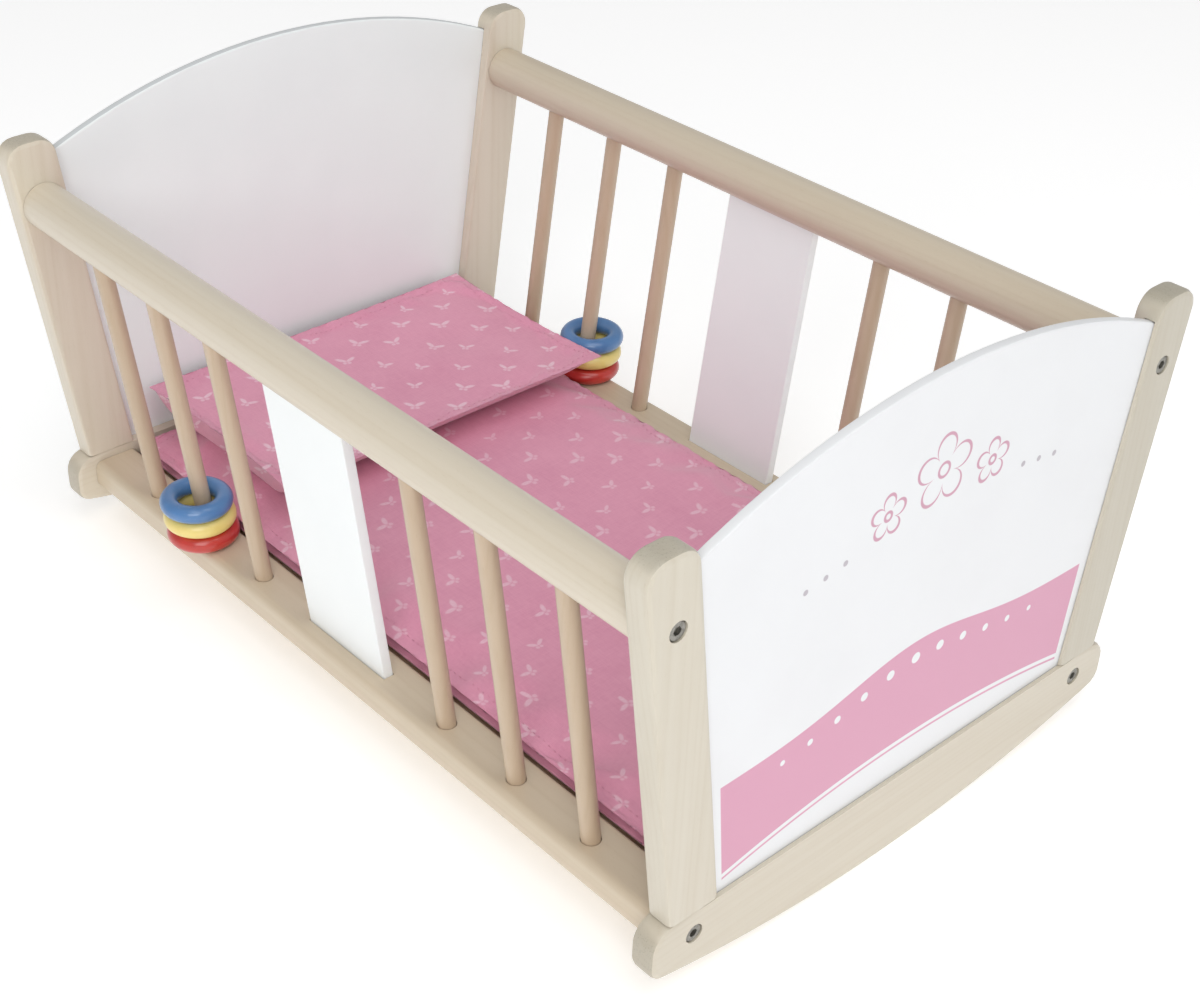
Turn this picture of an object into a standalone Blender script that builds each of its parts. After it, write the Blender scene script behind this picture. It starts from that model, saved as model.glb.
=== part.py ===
"""A doll cradle on curved rockers, with barred sides, sliding rings and bedding.

Metres, +Z up. The origin is on the floor under the middle of the cradle. X runs across it and
Y along it, from the painted foot end at -Y to the head end at +Y.
"""
import math

import bmesh
import bpy
from mathutils import Matrix, Vector

# Whole cradle
LENGTH = 0.500
FIT = 0.0003
OVERRUN = 0.004

# Ends: a rocker, two leaning posts and a thin panel
END_THICKNESS = 0.014
ROCKER_HALF_SPAN = 0.163
ROCKER_DEPTH = 0.046
ROCKER_TIP_DEPTH = 0.0275
ROCKER_SHOULDER_RADIUS = 0.012
ROCKER_HEEL_RADIUS = 0.009
ROCKER_FACETS = 25
POST_WIDTH = 0.030
POST_SET_IN = 0.0094
POST_HEIGHT = 0.201
POST_TOP_RADIUS = 0.011
POST_LEAN_SHARE = 0.134
END_ROUND_OVER = 0.0025
PANEL_THICKNESS = 0.005
PANEL_RECESS = 0.0025
PANEL_SHOULDER_DROP = 0.011
PANEL_RISE = 0.031
PANEL_TONGUE = 0.003
PANEL_FACETS = 28
PANEL_ROUND_OVER = 0.0012
DOWEL_RADIUS = 0.0025
DOWEL_SEAT = 0.010
DOWEL_SHARES = (0.29, 0.78)

# Sides: two rails, six spindles in two groups and a flat slat between them
TOP_RAIL_RADIUS = 0.01265
TOP_RAIL_DROP = 0.037
BOTTOM_RAIL_WIDTH = 0.026
BOTTOM_RAIL_THICKNESS = 0.017
BOTTOM_RAIL_DROP = 0.013
BOTTOM_RAIL_OUTSET = 0.001
BOTTOM_RAIL_OUTER_RADIUS = 0.0045
BOTTOM_RAIL_INNER_RADIUS = 0.002
SPINDLE_RADIUS = 0.0048
SPINDLE_SLAT_GAP = 0.0468
SPINDLES_IN_GROUP = 3
RAIL_SEAT = 0.008
SLAT_WIDTH = 0.064
SLAT_THICKNESS = 0.006
SLAT_ROUND_OVER = 0.0010

# Fasteners
BOLT_HEAD_RADIUS = 0.0047
BOLT_HEAD_HEIGHT = 0.0030
BOLT_HEAD_DOME = 0.0004
BOLT_RECESS = 0.0006
BOLT_SHANK_RADIUS = 0.0029
BOLT_REACH = 0.034
BOLT_TIP_CHAMFER = 0.0008
SOCKET_RADIUS = 0.0023
SOCKET_DEPTH = 0.0020
NUT_RADIUS = 0.0045
NUT_LENGTH = 0.013
NUT_SET_BACK = 0.001

# Rings that slide on one spindle of each side
RING_RADIUS = 0.020
RING_SECTION_RADIUS = 0.005
RING_OUTSET = 0.0035

# Base board and bedding
BASE_THICKNESS = 0.0035
BASE_LIP = 0.0035
BASE_TONGUE = 0.005
MATTRESS_THICKNESS = 0.0125
BLANKET_THICKNESS = 0.0085
PILLOW_THICKNESS = 0.0265
BEDDING_SIDE_GAP = 0.0025
BEDDING_END_GAP = 0.003
BLANKET_HEAD_GAP = 0.010
BLANKET_SIDE_GAP = 0.002
BLANKET_FOLD_HEIGHT = 0.0016
BLANKET_FOLD_LENGTH = 0.105
BLANKET_FOLD_FADE = 0.040
BLANKET_FOLD_SLANT_SHARE = 0.5
BLANKET_CREASE_SLANT_SHARE = 0.33
PILLOW_LEFT_GAP = 0.015
PILLOW_RIGHT_GAP = 0.003
PILLOW_LENGTH = 0.137
PILLOW_END_GAP = 0.003

# Each pad's form: its sides' draw-in, its seam's height, and the squareness of its top and underside
MATTRESS_SHARES = (0.006, 0.80, 10, 10)
BLANKET_SHARES = (0.006, 0.20, 10, 10)
PILLOW_SHARES = (0.030, 0.90, 4, 2.4)

# Facets of the turned pieces and cells of the bedding
RAIL_SIDES = 32
SPINDLE_SIDES = 18
FASTENER_SIDES = 16
SOCKET_SIDES = 6
RING_SIDES = 24
RING_SECTION_SIDES = 8
FILLET_STEPS = 6
ROUND_OVER_STEPS = 2
MATTRESS_CELLS = (10, 16)
BLANKET_CELLS = (18, 28)
PILLOW_CELLS = (20, 14)

# Places worked out from the sizes above
END_INNER_Y = LENGTH / 2 - END_THICKNESS
POST_HALF_GAP = ROCKER_HALF_SPAN - POST_SET_IN - POST_WIDTH
TOP_RAIL_HEIGHT = POST_HEIGHT - TOP_RAIL_DROP
PANEL_SHOULDER_HEIGHT = POST_HEIGHT - PANEL_SHOULDER_DROP
PANEL_CROWN_HEIGHT = PANEL_SHOULDER_HEIGHT + PANEL_RISE
SPINDLE_PITCH = (END_INNER_Y - SLAT_WIDTH / 2 - SPINDLE_SLAT_GAP) / SPINDLES_IN_GROUP
POST_MIDDLE = POST_HALF_GAP + POST_WIDTH / 2
TOP_RAIL_Z = ROCKER_DEPTH + TOP_RAIL_HEIGHT
TOP_RAIL_X = POST_MIDDLE + POST_LEAN_SHARE * TOP_RAIL_HEIGHT
BOTTOM_RAIL_Z = ROCKER_DEPTH - BOTTOM_RAIL_DROP
BOTTOM_RAIL_X = POST_MIDDLE - POST_LEAN_SHARE * BOTTOM_RAIL_DROP + BOTTOM_RAIL_OUTSET
BOTTOM_RAIL_INNER_X = BOTTOM_RAIL_X - BOTTOM_RAIL_WIDTH / 2
BOTTOM_RAIL_TOP_Z = BOTTOM_RAIL_Z + BOTTOM_RAIL_THICKNESS / 2
BAR_FOOT = Vector((BOTTOM_RAIL_X, 0, BOTTOM_RAIL_Z))
BAR_HEAD = Vector((TOP_RAIL_X, 0, TOP_RAIL_Z))
BAR_AXIS = (BAR_HEAD - BAR_FOOT).normalized()
BAR_LEAN = math.atan2(BAR_AXIS.x, BAR_AXIS.z)
BAR_START = BOTTOM_RAIL_THICKNESS / 2 / BAR_AXIS.z - RAIL_SEAT
BAR_END = (BAR_HEAD - BAR_FOOT).length - TOP_RAIL_RADIUS + RAIL_SEAT
BASE_BOTTOM_Z = BOTTOM_RAIL_Z - BOTTOM_RAIL_THICKNESS / 2 + BASE_LIP
MATTRESS_BOTTOM_Z = BASE_BOTTOM_Z + BASE_THICKNESS + FIT
BLANKET_BOTTOM_Z = MATTRESS_BOTTOM_Z + MATTRESS_THICKNESS + FIT
PILLOW_BOTTOM_Z = BLANKET_BOTTOM_Z + BLANKET_THICKNESS + FIT
BLANKET_LENGTH = 2 * END_INNER_Y - BEDDING_END_GAP - BLANKET_HEAD_GAP
BLANKET_MIDDLE_Y = (BEDDING_END_GAP - BLANKET_HEAD_GAP) / 2
PILLOW_WIDTH = 2 * BOTTOM_RAIL_INNER_X - PILLOW_LEFT_GAP - PILLOW_RIGHT_GAP
PILLOW_SHIFT = (PILLOW_LEFT_GAP - PILLOW_RIGHT_GAP) / 2
PILLOW_MIDDLE_Y = END_INNER_Y - PILLOW_END_GAP - PILLOW_LENGTH / 2
QUARTER_TURN = math.pi / 2
SMOOTH_ANGLE = math.radians(35)
SIDES = {"left": math.pi, "right": 0}
ENDS = {"foot": 0, "head": math.pi}


def clear_scene():
    for item in list(bpy.data.objects):
        bpy.data.objects.remove(item, do_unlink=True)


def principled(name, colour, roughness, metallic=0):
    """Returns a material with one Principled shader of the given colour."""
    material = bpy.data.materials.new(name)
    material.use_nodes = True
    shader = material.node_tree.nodes["Principled BSDF"]
    shader.inputs["Base Color"].default_value = (*colour, 1)
    shader.inputs["Roughness"].default_value = roughness
    shader.inputs["Metallic"].default_value = metallic
    material.diffuse_color = (*colour, 1)
    return material


def to_mesh(bm, name):
    """Turns a bmesh into a mesh with its faces pointing out and its round parts smooth."""
    bmesh.ops.recalc_face_normals(bm, faces=bm.faces)
    mesh = bpy.data.meshes.new(name)
    bm.to_mesh(mesh)
    bm.free()
    mesh.shade_smooth()
    mesh.set_sharp_from_angle(angle=SMOOTH_ANGLE)
    return mesh


def place(name, mesh, material, parent=None, matrix=Matrix()):
    """Adds a named object that shows the mesh at the matrix, in its parent's frame."""
    item = bpy.data.objects.new(name, mesh)
    bpy.context.scene.collection.objects.link(item)
    item.parent = parent
    item.matrix_basis = matrix
    if mesh and not mesh.materials:
        mesh.materials.append(material)
    return item


def own_copy(mesh, material):
    """Returns a copy of a mesh with a material of its own."""
    copy = mesh.copy()
    copy.materials.clear()
    copy.materials.append(material)
    return copy


def filleted(corners, radii):
    """Returns a closed outline whose corners are rounded to the given radii."""
    outline = []
    for n, (corner, radius) in enumerate(zip(corners, radii)):
        corner = Vector(corner)
        if not radius:
            outline.append(corner)
            continue
        back = (Vector(corners[n - 1]) - corner).normalized()
        onward = (Vector(corners[(n + 1) % len(corners)]) - corner).normalized()
        half = back.angle(onward) / 2
        middle = corner + (back + onward).normalized() * (radius / math.sin(half))
        first = corner + back * (radius / math.tan(half)) - middle
        last = corner + onward * (radius / math.tan(half)) - middle
        sweep = first.angle(last)
        for step in range(FILLET_STEPS + 1):
            turn = sweep * step / FILLET_STEPS
            arm = first * math.sin(sweep - turn) + last * math.sin(turn)
            outline.append(middle + arm / math.sin(sweep))
    return outline


def prism(outline, thickness, start=0):
    """Extrudes an outline in X and Z along +Y and returns the bmesh."""
    bm = bmesh.new()
    near = [bm.verts.new((x, start, z)) for x, z in outline]
    face = bm.faces.new(near)
    far = bmesh.ops.extrude_face_region(bm, geom=[face])["geom"]
    far_verts = [item for item in far if isinstance(item, bmesh.types.BMVert)]
    bmesh.ops.translate(bm, verts=far_verts, vec=(0, thickness, 0))
    return bm


def round_over(bm, width, chosen):
    """Rounds those sharp edges of a bmesh that the chosen test accepts."""
    bmesh.ops.recalc_face_normals(bm, faces=bm.faces)
    edges = [
        edge for edge in bm.edges
        if edge.calc_face_angle() > SMOOTH_ANGLE and chosen(*[vert.co for vert in edge.verts])
    ]
    bmesh.ops.bevel(
        bm, geom=edges, offset=width, segments=ROUND_OVER_STEPS, profile=0.5, affect="EDGES"
    )
    return bm


def turned(profile, sides, ring=False):
    """Turns a profile of (radius, height) round +Z; a ring profile is a closed loop."""
    bm = bmesh.new()
    rows = []
    for radius, height in profile:
        row = []
        for side in range(sides):
            angle = 2 * math.pi * side / sides
            place_on_row = (radius * math.cos(angle), radius * math.sin(angle), height)
            row.append(bm.verts.new(place_on_row))
        rows.append(row)
    pairs = list(zip(rows, rows[1:]))
    if ring:
        pairs.append((rows[-1], rows[0]))
    else:
        bm.faces.new(rows[0])
        bm.faces.new(rows[-1])
    for low, high in pairs:
        for side in range(sides):
            after = (side + 1) % sides
            bm.faces.new((low[side], low[after], high[after], high[side]))
    return bm


def rod(radius, start, end, sides):
    return turned([(radius, start), (radius, end)], sides)


def block(low, high):
    """Returns the bmesh of a box between two corners."""
    outline = [(low[0], low[2]), (high[0], low[2]), (high[0], high[2]), (low[0], high[2])]
    return prism(outline, high[1] - low[1], low[1])


def moved(bm, matrix):
    bmesh.ops.transform(bm, matrix=matrix, verts=bm.verts)
    return bm


def carved(bm, name, cutters):
    """Cuts bmesh cutters, which don't touch one another, out of a bmesh and returns a mesh."""
    joined = bmesh.new()
    for cutter in cutters:
        part = bpy.data.meshes.new("cutter")
        bmesh.ops.recalc_face_normals(cutter, faces=cutter.faces)
        cutter.to_mesh(part)
        cutter.free()
        joined.from_mesh(part)
        bpy.data.meshes.remove(part)
    body = place(name, to_mesh(bm, name), None)
    tool = place("cutter", to_mesh(joined, "cutter"), None)
    tool.hide_render = True
    tool.display_type = "WIRE"
    cut = body.modifiers.new("cut", "BOOLEAN")
    cut.object = tool
    cut.solver = "EXACT"
    bpy.context.view_layer.update()
    graph = bpy.context.evaluated_depsgraph_get()
    result = bpy.data.meshes.new_from_object(body.evaluated_get(graph))
    bpy.data.objects.remove(body, do_unlink=True)
    bpy.data.objects.remove(tool, do_unlink=True)
    result.name = name
    result.materials.clear()
    result.shade_smooth()
    result.set_sharp_from_angle(angle=SMOOTH_ANGLE)
    return result


def inner_edge(height):
    """Distance from the middle to a post's inner edge, at a height over the rocker."""
    return POST_HALF_GAP + POST_LEAN_SHARE * height


def arc_drop(x, half_span, rise):
    """How far an arc that rises by rise over half_span has fallen at x from its crown."""
    radius = (half_span ** 2 + rise ** 2) / (2 * rise)
    return radius - math.sqrt(radius ** 2 - x ** 2)


def panel_outline(margin):
    """Outline of the arched panel with its tongues, grown by a margin."""
    bottom = -PANEL_TONGUE - margin
    shoulder = inner_edge(PANEL_SHOULDER_HEIGHT) + PANEL_TONGUE + margin
    foot = inner_edge(bottom) + PANEL_TONGUE + margin
    rise = PANEL_CROWN_HEIGHT - PANEL_SHOULDER_HEIGHT
    outline = [(-foot, ROCKER_DEPTH + bottom), (foot, ROCKER_DEPTH + bottom)]
    for step in range(PANEL_FACETS + 1):
        x = shoulder * (1 - 2 * step / PANEL_FACETS)
        drop = arc_drop(x, inner_edge(PANEL_SHOULDER_HEIGHT), rise)
        outline.append((x, ROCKER_DEPTH + PANEL_CROWN_HEIGHT + margin - drop))
    return outline


def panel_slot():
    """Cutter for the groove that holds the panel in the posts and the rocker."""
    return prism(panel_outline(FIT), PANEL_THICKNESS + 2 * FIT, PANEL_RECESS - FIT)


def bolt_hole():
    """Cutter for a counterbored hole from an end's outer face, which looks along -Y."""
    seat = BOLT_RECESS + BOLT_HEAD_HEIGHT + FIT
    profile = [
        (BOLT_HEAD_RADIUS + FIT, -OVERRUN),
        (BOLT_HEAD_RADIUS + FIT, seat),
        (BOLT_SHANK_RADIUS + FIT, seat),
        (BOLT_SHANK_RADIUS + FIT, END_THICKNESS + OVERRUN),
    ]
    return moved(turned(profile, FASTENER_SIDES), Matrix.Rotation(-QUARTER_TURN, 4, "X"))


def dowel_places(side):
    """X of the two dowels under the post at side -1 or 1."""
    return [side * (POST_HALF_GAP + share * POST_WIDTH) for share in DOWEL_SHARES]


def dowel_holes(side):
    cutters = []
    for x in dowel_places(side):
        cutter = rod(DOWEL_RADIUS + FIT, -DOWEL_SEAT - FIT, DOWEL_SEAT + FIT, FASTENER_SIDES)
        spot = Vector((x, END_THICKNESS / 2, ROCKER_DEPTH))
        cutters.append(moved(cutter, Matrix.Translation(spot)))
    return cutters


def rocker_mesh():
    """Rocker board: straight top edge, round ends and an arched running edge."""
    rise = ROCKER_DEPTH - ROCKER_TIP_DEPTH
    corners = [(-ROCKER_HALF_SPAN, ROCKER_DEPTH), (ROCKER_HALF_SPAN, ROCKER_DEPTH)]
    radii = [ROCKER_SHOULDER_RADIUS, ROCKER_SHOULDER_RADIUS]
    for step in range(ROCKER_FACETS + 1):
        x = ROCKER_HALF_SPAN * (1 - 2 * step / ROCKER_FACETS)
        corners.append((x, arc_drop(x, ROCKER_HALF_SPAN, rise)))
        at_tip = step in (0, ROCKER_FACETS)
        radii.append(ROCKER_HEEL_RADIUS if at_tip else 0)
    bm = prism(filleted(corners, radii), END_THICKNESS)

    def below_top(first, last):
        along = first.y == last.y
        return along and min(first.z, last.z) < ROCKER_DEPTH - FIT

    round_over(bm, END_ROUND_OVER, below_top)
    cutters = [panel_slot()]
    for side in (-1, 1):
        spot = Vector((side * BOTTOM_RAIL_X, 0, BOTTOM_RAIL_Z))
        cutters.append(moved(bolt_hole(), Matrix.Translation(spot)))
        cutters += dowel_holes(side)
    return carved(bm, "rocker", cutters)


def post_mesh(side):
    """Leaning post with a rounded top, at side -1 or 1 of an end."""
    low = FIT
    corners = [
        (side * inner_edge(low), ROCKER_DEPTH + low),
        (side * (inner_edge(low) + POST_WIDTH), ROCKER_DEPTH + low),
        (side * (inner_edge(POST_HEIGHT) + POST_WIDTH), ROCKER_DEPTH + POST_HEIGHT),
        (side * inner_edge(POST_HEIGHT), ROCKER_DEPTH + POST_HEIGHT),
    ]
    bm = prism(filleted(corners, [0, 0, POST_TOP_RADIUS, POST_TOP_RADIUS]), END_THICKNESS)

    def above_foot(first, last):
        along = first.y == last.y
        return along and max(first.z, last.z) > ROCKER_DEPTH + 2 * FIT

    round_over(bm, END_ROUND_OVER, above_foot)
    spot = Vector((side * TOP_RAIL_X, 0, TOP_RAIL_Z))
    cutters = [panel_slot(), moved(bolt_hole(), Matrix.Translation(spot))]
    return carved(bm, "post", cutters + dowel_holes(side))


def panel_mesh():
    """Thin panel with an arched top, whose edges stand in grooves."""
    bm = prism(panel_outline(0), PANEL_THICKNESS, PANEL_RECESS)
    shoulder = ROCKER_DEPTH + PANEL_SHOULDER_HEIGHT / 2

    def on_arch(first, last):
        return first.y == last.y and min(first.z, last.z) > shoulder

    return to_mesh(round_over(bm, PANEL_ROUND_OVER, on_arch), "panel")


def bolt_mesh():
    """Bolt whose head looks along -Z and whose shank points along +Z from there."""
    under_head = BOLT_RECESS + BOLT_HEAD_HEIGHT
    tip = under_head + BOLT_REACH
    profile = [
        (BOLT_HEAD_RADIUS - BOLT_HEAD_DOME, BOLT_RECESS),
        (BOLT_HEAD_RADIUS, BOLT_RECESS + BOLT_HEAD_DOME),
        (BOLT_HEAD_RADIUS, under_head),
        (BOLT_SHANK_RADIUS, under_head),
        (BOLT_SHANK_RADIUS, tip - BOLT_TIP_CHAMFER),
        (BOLT_SHANK_RADIUS - BOLT_TIP_CHAMFER, tip),
    ]
    hexagon = rod(SOCKET_RADIUS, BOLT_RECESS - OVERRUN, BOLT_RECESS + SOCKET_DEPTH, SOCKET_SIDES)
    return carved(turned(profile, FASTENER_SIDES), "bolt", [hexagon])


def nut_mesh():
    """Plain threaded sleeve that takes the bolt in a rail's end."""
    bore = BOLT_SHANK_RADIUS + FIT
    profile = [(NUT_RADIUS, 0), (NUT_RADIUS, NUT_LENGTH), (bore, NUT_LENGTH), (bore, 0)]
    return to_mesh(turned(profile, FASTENER_SIDES, ring=True), "nut")


def build_end(end, materials, meshes):
    """One end of the cradle, in a frame whose outer face looks along -Y."""
    turn = Matrix.Rotation(ENDS[end], 4, "Z")
    frame = place(f"{end}_end", None, None, None, turn @ Matrix.Translation((0, -LENGTH / 2, 0)))
    place(f"rocker_{end}", own_copy(meshes["rocker"], materials["wood"]), None, frame)
    place(f"panel_{end}", own_copy(meshes["panel"], materials["white"]), None, frame)
    into_end = Matrix.Rotation(-QUARTER_TURN, 4, "X")
    for side in (-1, 1):
        outward = -side if ENDS[end] else side
        name = f"{end}_{'right' if outward > 0 else 'left'}"
        place(f"post_{name}", own_copy(meshes[side], materials["wood"]), None, frame)
        levels = {
            "top": (side * TOP_RAIL_X, TOP_RAIL_Z),
            "bottom": (side * BOTTOM_RAIL_X, BOTTOM_RAIL_Z),
        }
        for level, (x, z) in levels.items():
            at_bolt = Matrix.Translation((x, 0, z)) @ into_end
            in_rail = Matrix.Translation((0, 0, END_THICKNESS + FIT + NUT_SET_BACK))
            bolt = own_copy(meshes["bolt"], materials["bolt"])
            nut = own_copy(meshes["nut"], materials["nut"])
            place(f"bolt_{level}_{name}", bolt, None, frame, at_bolt)
            place(f"nut_{level}_{name}", nut, None, frame, at_bolt @ in_rail)
        for label, x in zip(("inner", "outer"), dowel_places(side)):
            dowel = own_copy(meshes["dowel"], materials["dowel"])
            spot = Matrix.Translation((x, END_THICKNESS / 2, ROCKER_DEPTH))
            place(f"dowel_{name}_{label}", dowel, None, frame, spot)


def bar_places():
    """Y of the spindles of one side, from the foot end to the head end."""
    near = [END_INNER_Y - SPINDLE_PITCH * (n + 1) for n in range(SPINDLES_IN_GROUP)]
    return sorted([-y for y in near] + near)


def bar_matrix(y, along=0):
    """Matrix of a bar's frame at y, whose +Z leans out along the bar."""
    spot = BAR_FOOT + BAR_AXIS * along + Vector((0, y, 0))
    return Matrix.Translation(spot) @ Matrix.Rotation(BAR_LEAN, 4, "Y")


def spindle_bm(margin):
    return rod(SPINDLE_RADIUS + margin, BAR_START - margin, BAR_END + margin, SPINDLE_SIDES)


def slat_bm(margin):
    low = (-SLAT_THICKNESS / 2 - margin, -SLAT_WIDTH / 2 - margin, BAR_START - margin)
    high = (SLAT_THICKNESS / 2 + margin, SLAT_WIDTH / 2 + margin, BAR_END + margin)
    return block(low, high)


def bar_seats():
    """Cutters for the blind holes of the spindles and the mortises of the slat."""
    cutters = [moved(spindle_bm(FIT), bar_matrix(y)) for y in bar_places()]
    cutters.append(moved(slat_bm(FIT), bar_matrix(0)))
    return cutters


def end_bores(x, z):
    """Cutters for the stepped bores in a rail's two ends, for its nuts and bolts."""
    nut_depth = NUT_SET_BACK + NUT_LENGTH + FIT
    bolt_depth = BOLT_RECESS + BOLT_HEAD_HEIGHT + BOLT_REACH - END_THICKNESS
    profile = [
        (NUT_RADIUS + FIT, -OVERRUN),
        (NUT_RADIUS + FIT, nut_depth),
        (BOLT_SHANK_RADIUS + FIT, nut_depth),
        (BOLT_SHANK_RADIUS + FIT, bolt_depth + FIT),
    ]
    cutters = []
    for turn in (0, math.pi):
        at_end = Matrix.Translation((0, -END_INNER_Y + FIT, 0))
        along = at_end @ Matrix.Rotation(-QUARTER_TURN, 4, "X")
        cutter = moved(turned(profile, FASTENER_SIDES), along)
        cutters.append(moved(cutter, Matrix.Translation((x, 0, z)) @ Matrix.Rotation(turn, 4, "Z")))
    return cutters


def top_rail_mesh():
    half = END_INNER_Y - FIT
    rail = rod(TOP_RAIL_RADIUS, -half, half, RAIL_SIDES)
    lay = Matrix.Translation((TOP_RAIL_X, 0, TOP_RAIL_Z)) @ Matrix.Rotation(QUARTER_TURN, 4, "X")
    return carved(moved(rail, lay), "top_rail", bar_seats() + end_bores(TOP_RAIL_X, TOP_RAIL_Z))


def base_block(margin, end_margin):
    """The base board between its tongues, grown by margins."""
    half_x = BOTTOM_RAIL_INNER_X + BASE_TONGUE + margin
    half_y = END_INNER_Y - FIT + end_margin
    low = (-half_x, -half_y, BASE_BOTTOM_Z - margin)
    high = (half_x, half_y, BASE_BOTTOM_Z + BASE_THICKNESS + margin)
    return block(low, high)


def bottom_rail_mesh():
    """Flat rail with a rounder outer edge, a groove for the base board and the bars' seats."""
    half = END_INNER_Y - FIT
    left = BOTTOM_RAIL_INNER_X
    right = left + BOTTOM_RAIL_WIDTH
    low = BOTTOM_RAIL_Z - BOTTOM_RAIL_THICKNESS / 2
    corners = [(left, low), (right, low), (right, BOTTOM_RAIL_TOP_Z), (left, BOTTOM_RAIL_TOP_Z)]
    inner, outer = BOTTOM_RAIL_INNER_RADIUS, BOTTOM_RAIL_OUTER_RADIUS
    rail = prism(filleted(corners, [inner, outer, outer, inner]), 2 * half, -half)
    cutters = bar_seats() + end_bores(BOTTOM_RAIL_X, BOTTOM_RAIL_Z)
    return carved(rail, "bottom_rail", cutters + [base_block(FIT, OVERRUN)])


def slat_mesh():
    def lengthwise(first, last):
        return first.z != last.z

    return to_mesh(round_over(slat_bm(0), SLAT_ROUND_OVER, lengthwise), "slat")


def ring_mesh():
    """Ring of round section lying flat, with its middle at the origin."""
    centre_radius = RING_RADIUS - RING_SECTION_RADIUS
    profile = []
    for step in range(RING_SECTION_SIDES):
        angle = 2 * math.pi * step / RING_SECTION_SIDES
        out = centre_radius + RING_SECTION_RADIUS * math.cos(angle)
        profile.append((out, RING_SECTION_RADIUS * math.sin(angle)))
    return to_mesh(turned(profile, RING_SIDES, ring=True), "ring")


def build_side(side, materials, meshes):
    """One barred side, in a frame whose outward direction is +X."""
    frame = place(f"{side}_side", None, None, None, Matrix.Rotation(SIDES[side], 4, "Z"))
    place(f"top_rail_{side}", own_copy(meshes["top_rail"], materials["wood"]), None, frame)
    place(f"bottom_rail_{side}", own_copy(meshes["bottom_rail"], materials["wood"]), None, frame)
    place(f"slat_{side}", own_copy(meshes["slat"], materials["white"]), None, frame, bar_matrix(0))
    to_head = -1 if SIDES[side] else 1
    for n, y in enumerate(bar_places(), start=1):
        spindle = own_copy(meshes["spindle"], materials["wood"])
        place(f"spindle_{side}_{n}", spindle, None, frame, bar_matrix(to_head * y))
    ring_y = to_head * (END_INNER_Y - 2 * SPINDLE_PITCH)
    for n, colour in enumerate(("red", "yellow", "blue")):
        middle = FIT + RING_SECTION_RADIUS + n * (2 * RING_SECTION_RADIUS + FIT)
        height = BOTTOM_RAIL_TOP_Z + middle
        lean = (height - BAR_FOOT.z) * BAR_AXIS.x / BAR_AXIS.z
        spot = Matrix.Translation((BAR_FOOT.x + lean + RING_OUTSET, ring_y, height))
        ring = own_copy(meshes["ring"], materials[colour])
        place(f"ring_{side}_{colour}", ring, None, frame, spot)


def pad_mesh(name, half_x, half_y, thickness, shares, cells, bump=None):
    """Closed pad: crowned top, sides drawn in between its corners, and a seam round its edge."""
    draw_in_share, seam_share, top_share, base_share = shares
    bm = bmesh.new()
    seam = thickness * seam_share
    top, base = [], []
    for i in range(cells[0] + 1):
        u = math.sin(QUARTER_TURN * (2 * i / cells[0] - 1))
        top_row, base_row = [], []
        for j in range(cells[1] + 1):
            v = math.sin(QUARTER_TURN * (2 * j / cells[1] - 1))
            x = half_x * u * (1 - draw_in_share * (1 - v * v) * u * u)
            y = half_y * v * (1 - draw_in_share * (1 - u * u) * v * v)
            edge_u = max(0, 1 - abs(u) ** top_share)
            edge_v = max(0, 1 - abs(v) ** top_share)
            crown = math.sqrt(edge_u * edge_v)
            flat_u = max(0, 1 - abs(u) ** base_share)
            flat_v = max(0, 1 - abs(v) ** base_share)
            flat = math.sqrt(flat_u * flat_v)
            lift = bump(x, y) if bump else 0
            vert = bm.verts.new((x, y, seam + (thickness - seam + lift) * crown))
            at_rim = i in (0, cells[0]) or j in (0, cells[1])
            top_row.append(vert)
            base_row.append(vert if at_rim else bm.verts.new((x, y, seam * (1 - flat))))
        top.append(top_row)
        base.append(base_row)
    for rows in (top, base):
        for near, far in zip(rows, rows[1:]):
            for j in range(cells[1]):
                bm.faces.new((near[j], near[j + 1], far[j + 1], far[j]))
    return to_mesh(bm, name)


def blanket_fold(x, y):
    """Height of the blanket's soft folds, which die out under the pillow."""
    pillow_front = PILLOW_MIDDLE_Y - PILLOW_LENGTH / 2 - BLANKET_MIDDLE_Y
    fade = min(1, max(0, (pillow_front - y) / BLANKET_FOLD_FADE - 1))
    along = math.sin(2 * math.pi * (y + x * BLANKET_FOLD_SLANT_SHARE) / BLANKET_FOLD_LENGTH)
    across = math.sin(2 * math.pi * (x - y * BLANKET_CREASE_SLANT_SHARE) / BLANKET_FOLD_LENGTH)
    return BLANKET_FOLD_HEIGHT * fade * (along + across) / 2


def build_bedding(materials):
    """Base board in the rails' grooves, and the mattress, blanket and pillow on it."""
    place("base_board", to_mesh(base_block(0, 0), "base_board"), materials["board"])
    mattress = pad_mesh(
        "mattress", BOTTOM_RAIL_INNER_X - BEDDING_SIDE_GAP, END_INNER_Y - BEDDING_END_GAP,
        MATTRESS_THICKNESS, MATTRESS_SHARES, MATTRESS_CELLS,
    )
    spot = Matrix.Translation((0, 0, MATTRESS_BOTTOM_Z))
    place("mattress", mattress, materials["mattress"], None, spot)
    blanket = pad_mesh(
        "blanket", BOTTOM_RAIL_INNER_X - BLANKET_SIDE_GAP, BLANKET_LENGTH / 2,
        BLANKET_THICKNESS, BLANKET_SHARES, BLANKET_CELLS, blanket_fold,
    )
    spot = Matrix.Translation((0, BLANKET_MIDDLE_Y, BLANKET_BOTTOM_Z))
    place("blanket", blanket, materials["blanket"], None, spot)
    pillow = pad_mesh(
        "pillow", PILLOW_WIDTH / 2, PILLOW_LENGTH / 2,
        PILLOW_THICKNESS, PILLOW_SHARES, PILLOW_CELLS,
    )
    spot = Matrix.Translation((PILLOW_SHIFT, PILLOW_MIDDLE_Y, PILLOW_BOTTOM_Z))
    place("pillow", pillow, materials["pillow"], None, spot)


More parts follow.
